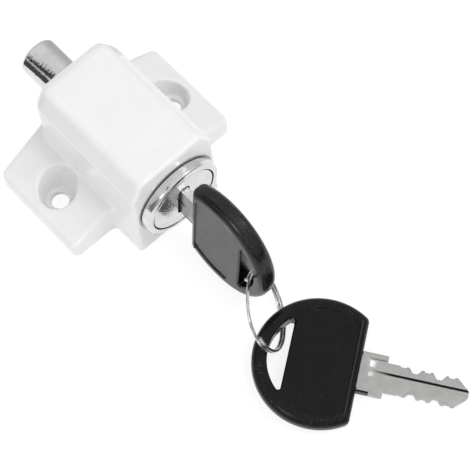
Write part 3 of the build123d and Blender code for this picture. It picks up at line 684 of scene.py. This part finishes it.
def makeBlackPlastic(name, key):
    # Moulded gloss with fine scuffs, and a lighter band round the rim that is partly wear where keys rub
    # on each other and partly a painted sheen on the rounded edge
    material, tree, shader = newMaterial(name, {"Specular IOR Level": key["gloss"]})
    centred, parts = placeOnKey(tree, key)
    across = addMath(tree, "MULTIPLY", parts["Y"], parts["Y"])
    radius = addMath(tree, "SQRT", addMath(tree, "MULTIPLY_ADD", parts["X"], parts["X"], across))
    # Lighter band round the rim: partly rubbing wear, partly painted sheen standing in for the rounded
    # edge's highlight
    rim = smoothStep(tree, radius, *plastic["rim"])
    rubs = noiseOf(tree, centred, plastic["rubScale"], plastic["rubDetail"], plastic["rubDistortion"])
    rimWearAndSheen = addMath(tree, "MULTIPLY", rim, smoothStep(tree, rubs, *plastic["rubbed"]))
    marks = useGroup(tree, "scratches", plastic["marks"])
    patches = useGroup(tree, "mottle", plastic["patches"])
    scuffsAndSheen = addMath(tree, "MAXIMUM", rimWearAndSheen, addMath(tree, "MULTIPLY", marks, plastic["markShare"]))
    rough = levelBetween(tree, patches, plastic["roughness"], plastic["dullRoughness"])
    rough = addMath(tree, "MULTIPLY_ADD", scuffsAndSheen, plastic["scuffRoughness"], rough)
    setSurface(tree, shader, colourBetween(tree, scuffsAndSheen, plastic["base"], plastic["scuffAndSheenTone"]), rough)
    peel = useGroup(tree, "relief", plastic["peel"])
    height = addMath(tree, "MULTIPLY_ADD", scuffsAndSheen, plastic["scuffHeight"], peel)
    addRelief(tree, shader, height, plastic["depth"])
    return material


paintedGapShade = {
    "dark": (0.002, 0.002, 0.002),
    "pale": (0.014, 0.014, 0.014),
    "gloss": 0.1,
    "roughness": 0.6,
    "dullRoughness": 0.85,
    "patches": {"Patch Size": 1.5, "Contrast": 1.2},
}


def makePaintedGapShade():
    # Near-black matt for the rings that stand in for the shade in the gaps: painted shade
    material, tree, shader = newMaterial("paintedGapShade", {"Specular IOR Level": paintedGapShade["gloss"]})
    patches = useGroup(tree, "mottle", paintedGapShade["patches"])
    rough = levelBetween(tree, patches, paintedGapShade["roughness"], paintedGapShade["dullRoughness"])
    setSurface(tree, shader, colourBetween(tree, patches, paintedGapShade["dark"], paintedGapShade["pale"]), rough)
    return material


# Keys, in millimetres and degrees: where each head lies and how it is turned, as in the CAD, the
# blade's direction seen from above, how glossy the plastic is, and how strongly painted highlights lie
# on the blade's edges and run-outs
keys = {
    1: {
        "headCentre": (0.0, -40.2, 16.1),
        "turn": (96.0, 0.0, 90.0),
        "bladeHeading": 90.0,
        "gloss": 0.40,
        "edgeShine": 0.9,
        "runOutShine": 0.1,
    },
    2: {
        "headCentre": (-1.99, -74.28, 3.8),
        "turn": (0.0, 4.5, -54.9),
        "bladeHeading": -54.9,
        "gloss": 0.20,
        "edgeShine": 0.0,
        "runOutShine": 1.0,
    },
}

materials = {"white_paint": makeWhitePaint(), "painted_gap_shade": makePaintedGapShade()}
for slot, look in metals.items():
    materials[slot] = makeMetal(look)
for number, key in keys.items():
    materials[f"key_{number}_blade"] = makeNickelSilver(f"nickelSilver{number}", key)
    materials[f"key_{number}_head"] = makeBlackPlastic(f"blackPlastic{number}", key)
print("materials made:", len(materials))

slotOf = {row["node"]: row["material_slot"] for row in frame["record"]["subparts"]}
bodyOf = {node: body for body, names in frame["record"]["behaviour"]["bodies"].items() for node in names}


def materialOf(node):
    return materials.get(node) or materials[slotOf[node]]


for name, node in nodes.items():
    node.data.materials.clear()
    node.data.materials.append(materialOf(name))


# New pieces, in millimetres and degrees
joinWithin = {"piece": 0.002, "cad": 0.001}


def rowGrid(rows, columns, closedRows, closedColumns):
    # Quads between neighbouring points of a grid, wrapped round where it is closed
    i = np.arange(rows if closedRows else rows - 1)
    j = np.arange(columns if closedColumns else columns - 1)
    i, j = np.meshgrid(i, j, indexing="ij")
    nextI = (i + 1) % rows
    nextJ = (j + 1) % columns
    corners = [(i, j), (nextI, j), (nextI, nextJ), (i, nextJ)]
    return np.stack([row * columns + column for row, column in corners], -1).reshape(-1, 4)


def joinPoints(mesh, within, outwards):
    work = bmesh.new()
    work.from_mesh(mesh)
    bmesh.ops.remove_doubles(work, verts=work.verts, dist=within * mm)
    if outwards:
        bmesh.ops.recalc_face_normals(work, faces=work.faces)
    work.to_mesh(mesh)
    work.free()


def smoothFaces(mesh):
    mesh.polygons.foreach_set("use_smooth", np.ones(len(mesh.polygons), dtype=bool))


def takeOver(piece, node):
    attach(piece, bodyOf[node])
    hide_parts(node)


def makePiece(name, node, points, quads, material=None):
    # One mesh from whole arrays: doubles merged, so seams and poles close, and faces turned outwards
    mesh = bpy.data.meshes.new(name)
    mesh.from_pydata(points.reshape(-1, 3) * mm, [], quads.tolist())
    joinPoints(mesh, joinWithin["piece"], True)
    smoothFaces(mesh)
    mesh.materials.append(material or materialOf(node))
    piece = addObject(name, mesh)
    takeOver(piece, node)
    return piece


def mergedCopy(name, node):
    # A CAD node's mesh is left alone, and its loose triangles are joined in a copy
    mesh = nodes[node].data.copy()
    mesh.name = name
    joinPoints(mesh, joinWithin["cad"], False)
    return mesh


def boxOf(node):
    low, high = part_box(node)
    return np.array(low) / mm, np.array(high) / mm


bezelLow, bezelHigh = boxOf("bezel")
capLow, capHigh = boxOf("plug_cap")
boltLow, boltHigh = boxOf("bolt")
bezelRadius = (bezelHigh[0] - bezelLow[0]) / 2
capRadius = (capHigh[0] - capLow[0]) / 2
axisHeight = (bezelLow[2] + bezelHigh[2]) / 2


def softLine(corners, steps, margin):
    # A profile with rounded corners: each corner (a, b, radius) becomes an arc that both of its sides
    # meet in line, with a point just before and after it so that flat stretches stay flat when shaded
    points = []
    for before, (a, b, radius), after in zip(corners, corners[1:], corners[2:]):
        corner = np.array([a, b])
        back = np.array(before[:2]) - corner
        ahead = np.array(after[:2]) - corner
        back = back / np.linalg.norm(back)
        ahead = ahead / np.linalg.norm(ahead)
        if radius == 0:
            points.append(corner)
            continue
        opening = math.acos(np.clip(back @ ahead, -1, 1))
        reach = radius / math.tan(opening / 2)
        middle = corner + (back + ahead) / np.linalg.norm(back + ahead) * radius / math.sin(opening / 2)
        share = np.linspace(0, 1, steps + 1)[:, None]
        start = corner + back * reach - middle
        end = corner + ahead * reach - middle
        swing = math.pi - opening
        arc = (np.sin((1 - share) * swing) * start + np.sin(share * swing) * end) / math.sin(swing)
        points.append(corner + back * (reach + margin))
        points.extend(middle + arc)
        points.append(corner + ahead * (reach + margin))
    return np.array(points)


def turnProfile(profile, steps):
    # Surface of revolution about the lock's axis: point (y, r) goes round to
    # (r cos t, y, axis height + r sin t)
    angle = np.linspace(0, 2 * np.pi, steps, endpoint=False)[:, None]
    along, radius = profile[None, :, 0], profile[None, :, 1]
    x = radius * np.cos(angle)
    z = axisHeight + radius * np.sin(angle)
    return np.stack(np.broadcast_arrays(x, along, z), -1)


bezelShape = {
    "outerRound": 0.75,
    "rimRound": 0.12,
    "shoulderRound": 0.08,
    "smallRound": 0.05,
    "roundSteps": 6,
    "margin": 0.04,
    "lipGap": 0.32,
    "backRadius": 9.52,
    "lipLength": 1.7,
    "proud": 2.85,
    "grooveWidth": 0.30,
    "grooveDepth": 0.26,
    "steps": 256,
}


def makeBezel():
    # The ring's outline, undercut where it meets the housing, carried once round the axis
    inner = capRadius + bezelShape["lipGap"]
    front, back = bezelLow[1], bezelHigh[1]
    ledge = front + bezelShape["lipLength"]
    shoulder = front + bezelShape["proud"] - bezelShape["grooveWidth"]
    neck = bezelRadius - bezelShape["grooveDepth"]
    small = bezelShape["smallRound"]
    corners = [
        (ledge, bezelShape["backRadius"], 0.0),
        (back, bezelShape["backRadius"], small),
        (back, neck, small),
        (shoulder, neck, small),
        (shoulder, bezelRadius, bezelShape["shoulderRound"]),
        (front, bezelRadius, bezelShape["outerRound"]),
        (front, inner, bezelShape["rimRound"]),
        (ledge, inner, small),
        (ledge, bezelShape["backRadius"], small),
        (back, bezelShape["backRadius"], 0.0),
    ]
    profile = softLine(corners, bezelShape["roundSteps"], bezelShape["margin"])
    points = turnProfile(profile, bezelShape["steps"])
    makePiece("bezelRing", "bezel", points, rowGrid(*points.shape[:2], True, True))


# Painted shade in the gaps: how far its two dark flat rings keep off the walls of their gaps, and how
# deep they lie
gapShape = {
    "round": 0.02,
    "roundSteps": 2,
    "margin": 0.01,
    "seatOff": (0.02, 0.03),
    "seatInset": (0.24, 0.04),
    "capDepth": (0.42, 0.62),
    "capOff": 0.03,
}


def makeGapRing(name, near, far, inner, outer):
    # A flat dark ring at the bottom of a gap, as painted shade: a small rectangle carried round the axis
    edge = gapShape["round"]
    corners = [
        (near, inner, 0.0),
        (far, inner, edge),
        (far, outer, edge),
        (near, outer, edge),
        (near, inner, edge),
        (far, inner, 0.0),
    ]
    profile = softLine(corners, gapShape["roundSteps"], gapShape["margin"])
    points = turnProfile(profile, bezelShape["steps"])
    makePiece(name, "bezel", points, rowGrid(*points.shape[:2], True, True), materials["painted_gap_shade"])


def makeGapRings():
    seat = bezelLow[1] + bezelShape["proud"]
    near = seat - bezelShape["grooveWidth"] + gapShape["seatOff"][0]
    far = seat - gapShape["seatOff"][1]
    inner, outer = [bezelRadius - inset for inset in gapShape["seatInset"]]
    makeGapRing("seatGapShade", near, far, inner, outer)
    near, far = [capLow[1] + depth for depth in gapShape["capDepth"]]
    inner = capRadius + gapShape["capOff"]
    outer = capRadius + bezelShape["lipGap"] - gapShape["capOff"]
    makeGapRing("capGapShade", near, far, inner, outer)


boltShape = {
    "width": 10.0,
    "headLength": 2.2,
    "headRound": 0.1,
    "endRound": 0.9,
    "roundSteps": 10,
    "margin": 0.04,
    "steps": 192,
}


def makeBolt():
    # Head, shank and softened end, carried round the axis from pole to pole
    radius = boltShape["width"] / 2
    head = (boltHigh[0] - boltLow[0]) / 2
    start, end = boltLow[1], boltHigh[1]
    neck = start + boltShape["headLength"]
    edge = boltShape["headRound"]
    corners = [
        (start, -1.0, 0.0),
        (start, 0.0, 0.0),
        (start, head, edge),
        (neck, head, edge),
        (neck, radius, edge),
        (end, radius, boltShape["endRound"]),
        (end, 0.0, 0.0),
        (end, -1.0, 0.0),
    ]
    profile = softLine(corners, boltShape["roundSteps"], boltShape["margin"])
    points = turnProfile(profile, boltShape["steps"])
    makePiece("turnedBolt", "bolt", points, rowGrid(*points.shape[:2], True, False))


capShape = {
    "thickness": 1.58,
    "edgeRound": 0.22,
    "slotRound": 0.16,
    "roundSteps": 5,
    "margin": 0.04,
    "slotWidth": 3.4,
    "slotHeight": 11.2,
    "lean": 6.0,
    "faceRings": (0.03, 0.25, 0.5, 0.75, 0.97),
    "steps": 320,
}


def makeCap():
    # A disc with a round-ended slot: each ring of points lies between the slot's outline and the rim,
    # blended in a straight line by the share from one to the other, and the profile gives its depth
    front = capLow[1]
    back = front + capShape["thickness"]
    angle = np.linspace(0, 2 * np.pi, capShape["steps"], endpoint=False)
    circle = np.stack([np.cos(angle), np.sin(angle)], -1)
    halfWidth = capShape["slotWidth"] / 2
    straight = capShape["slotHeight"] / 2 - halfWidth
    slot = halfWidth * circle
    slot[:, 1] += straight * np.sign(np.sin(angle))
    rim = capRadius * circle
    edge, slotEdge = capShape["edgeRound"], capShape["slotRound"]
    bend = np.linspace(0, np.pi / 2, capShape["roundSteps"] + 1)
    rings = []
    for turn in bend:
        grown = slot + circle * slotEdge * (1 - np.cos(turn))
        rings.append((grown, front + slotEdge * (1 - np.sin(turn))))
    inner = slot + circle * slotEdge
    broad = rim * (1 - edge / capRadius)
    for share in capShape["faceRings"]:
        rings.append((inner * (1 - share) + broad * share, front))
    for turn in bend:
        size = 1 - edge * (1 - np.sin(turn)) / capRadius
        rings.append((rim * size, front + edge * (1 - np.cos(turn))))
    rings.append((rim, back))
    rings.append((slot, back))
    rings.append((slot, front + slotEdge + capShape["margin"]))
    tilt = math.radians(capShape["lean"])
    across = np.array([math.cos(tilt), 0, -math.sin(tilt)])
    upwards = np.array([math.sin(tilt), 0, math.cos(tilt)])
    points = []
    for flat, depth in rings:
        middle = np.array([0, depth, axisHeight])
        points.append(flat[:, :1] * across + flat[:, 1:] * upwards + middle)
    points = np.array(points)
    piece = makePiece("faceCap", "plug_cap", points, rowGrid(*points.shape[:2], True, True))
    edges = piece.modifiers.new("keepBackSharp", "WEIGHTED_NORMAL")
    edges.keep_sharp = True


# The wire's tips and the bead's span are in multiples of the angle that half the wire takes up on the
# ring, and the bead's middle is a share of its span
ringShape = {
    "radius": 9.6,
    "wire": 0.76,
    "pitch": 0.80,
    "start": 31.0,
    "length": 631.0,
    "stepFrom": 275.0,
    "stepTo": 352.0,
    "heading": 141.0,
    "rise": -24.0,
    "tipPlaces": (0.0, 0.0, 0.02, 0.1, 0.25, 0.4),
    "tipSizes": (0.0, 0.72, 0.82, 0.93, 0.985, 1.0),
    "tipEnd": 0.6,
    "bead": 1.35,
    "beadSpan": 2.2,
    "beadMiddle": 0.6,
    "steps": 640,
    "sides": 20,
}


def makeSplitRing():
    # A round wire laid in two flat turns that overlap except along one side: there the single wire
    # steps from one level to the other on half a cosine wave, and its far end swells to a small bead
    low, high = boxOf("split_ring")
    centre = (low + high) / 2
    heading, rise = math.radians(ringShape["heading"]), math.radians(ringShape["rise"])
    flatNormal = np.array([math.cos(heading), math.sin(heading), 0.0])
    normal = flatNormal * math.cos(rise) + np.array([0.0, 0.0, math.sin(rise)])
    first = np.array([-math.sin(heading), math.cos(heading), 0.0])
    second = np.cross(normal, first)

    half = ringShape["wire"] / 2
    tight = math.degrees(half / ringShape["radius"])
    tips = np.array(ringShape["tipPlaces"]) * tight
    tipEnd = ringShape["tipEnd"] * tight
    turned = np.linspace(tipEnd, ringShape["length"] - tipEnd, ringShape["steps"])
    turned = np.concatenate([tips, turned, ringShape["length"] - tips[::-1]])
    taper = np.array(ringShape["tipSizes"])
    size = half * np.concatenate([taper, np.ones(ringShape["steps"]), taper[::-1]])
    toEnd = (ringShape["length"] - turned) / (ringShape["beadSpan"] * tight)
    away = (toEnd - ringShape["beadMiddle"]) ** 2 / ringShape["beadMiddle"] ** 2
    size = size * (1 + (ringShape["bead"] - 1) * np.clip(1 - away, 0, 1))

    stepLength = ringShape["stepTo"] - ringShape["stepFrom"]
    share = np.clip((turned - ringShape["stepFrom"]) / stepLength, 0, 1)
    level = -ringShape["pitch"] / 2 * np.cos(np.pi * share)
    place = np.radians(ringShape["start"] - turned)
    outwards = np.cos(place)[:, None] * first + np.sin(place)[:, None] * second
    line = centre + ringShape["radius"] * outwards + level[:, None] * normal
    around = np.linspace(0, 2 * np.pi, ringShape["sides"], endpoint=False)
    section = np.cos(around)[None, :, None] * outwards[:, None] + np.sin(around)[None, :, None] * normal
    points = line[:, None] + size[:, None, None] * section
    makePiece("splitRingWire", "split_ring", points, rowGrid(*points.shape[:2], False, True))


# Widths of the small rounds on the keys' sharp edges, and what counts as sharp
easing = {"head": 0.10, "blade": 0.07, "segments": 2, "angle": 32.0, "flatWeight": 50}


def easeEdges(name, node, width):
    # A merged copy of a CAD node whose sharp edges get a small round, with the flats kept flat
    mesh = mergedCopy(name, node)
    for label in ("custom_normal", "sharp_edge", "sharp_face"):
        if label in mesh.attributes:
            mesh.attributes.remove(mesh.attributes[label])
    smoothFaces(mesh)
    piece = addObject(name, mesh)
    bevel = piece.modifiers.new("easedEdges", "BEVEL")
    bevel.width = width * mm
    bevel.segments = easing["segments"]
    bevel.limit_method = "ANGLE"
    bevel.angle_limit = math.radians(easing["angle"])
    bevel.use_clamp_overlap = False
    flat = piece.modifiers.new("flatFaces", "WEIGHTED_NORMAL")
    flat.mode = "FACE_AREA"
    flat.weight = easing["flatWeight"]
    takeOver(piece, node)


# The bore and the latch's pocket keep their size: how far they reach from the axis and to the sides,
# and how far inside the ends and the roof they begin
housingSkin = {
    "voxel": 0.30,
    "rounds": 18,
    "strength": 0.5,
    "boreReach": 11.4,
    "pocketHalfWidth": 5.0,
    "edgeDepth": 0.9,
    "roof": 1.3,
}


def makeHousing():
    # The casting's merged copy, resampled in small even steps. Its outside is then relaxed, which leaves
    # the soft edges of thick paint over a die casting, while the bore and the pocket keep their size
    source = addObject("housingSource", mergedCopy("housingSource", "housing"))
    skin = source.modifiers.new("evenSkin", "REMESH")
    skin.mode = "VOXEL"
    skin.voxel_size = housingSkin["voxel"] * mm
    skin.use_smooth_shade = True
    mesh = bpy.data.meshes.new_from_object(source.evaluated_get(bpy.context.evaluated_depsgraph_get()))
    mesh.name = "paintedHousing"
    bpy.data.objects.remove(source)
    mesh.materials.clear()
    mesh.materials.append(materialOf("housing"))
    piece = addObject("paintedHousing", mesh)
    places = np.empty(len(mesh.vertices) * 3)
    mesh.vertices.foreach_get("co", places)
    x, y, z = places.reshape(-1, 3).T / mm
    low, high = boxOf("housing")
    deep = (y > low[1] + housingSkin["edgeDepth"]) & (y < high[1] - housingSkin["edgeDepth"])
    bore = np.hypot(x, z - axisHeight) < housingSkin["boreReach"]
    pocket = (abs(x) < housingSkin["pocketHalfWidth"]) & (z > axisHeight)
    pocket = pocket & (z < high[2] - housingSkin["roof"])
    outside = piece.vertex_groups.new(name="outside")
    outside.add(np.flatnonzero(~(deep & (bore | pocket))).tolist(), 1.0, "REPLACE")
    relaxed = piece.modifiers.new("softEdges", "SMOOTH")
    relaxed.factor = housingSkin["strength"]
    relaxed.iterations = housingSkin["rounds"]
    relaxed.vertex_group = "outside"
    takeOver(piece, "housing")


def makeLatchSpring():
    # The pin's collar pushes the spring up against its ledge; here the spring is an own copy of its CAD
    # mesh, which takes the node's place
    mesh = nodes["latch_spring"].data.copy()
    mesh.name = "latchCoil"
    piece = addObject("latchCoil", mesh)
    takeOver(piece, "latch_spring")
    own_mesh(piece)


makeBezel()
makeGapRings()
makeBolt()
makeCap()
makeSplitRing()
makeHousing()
makeLatchSpring()
for number in keys:
    easeEdges(f"keyHead{number}", f"key_{number}_head", easing["head"])
    easeEdges(f"keyBlade{number}", f"key_{number}_blade", easing["blade"])
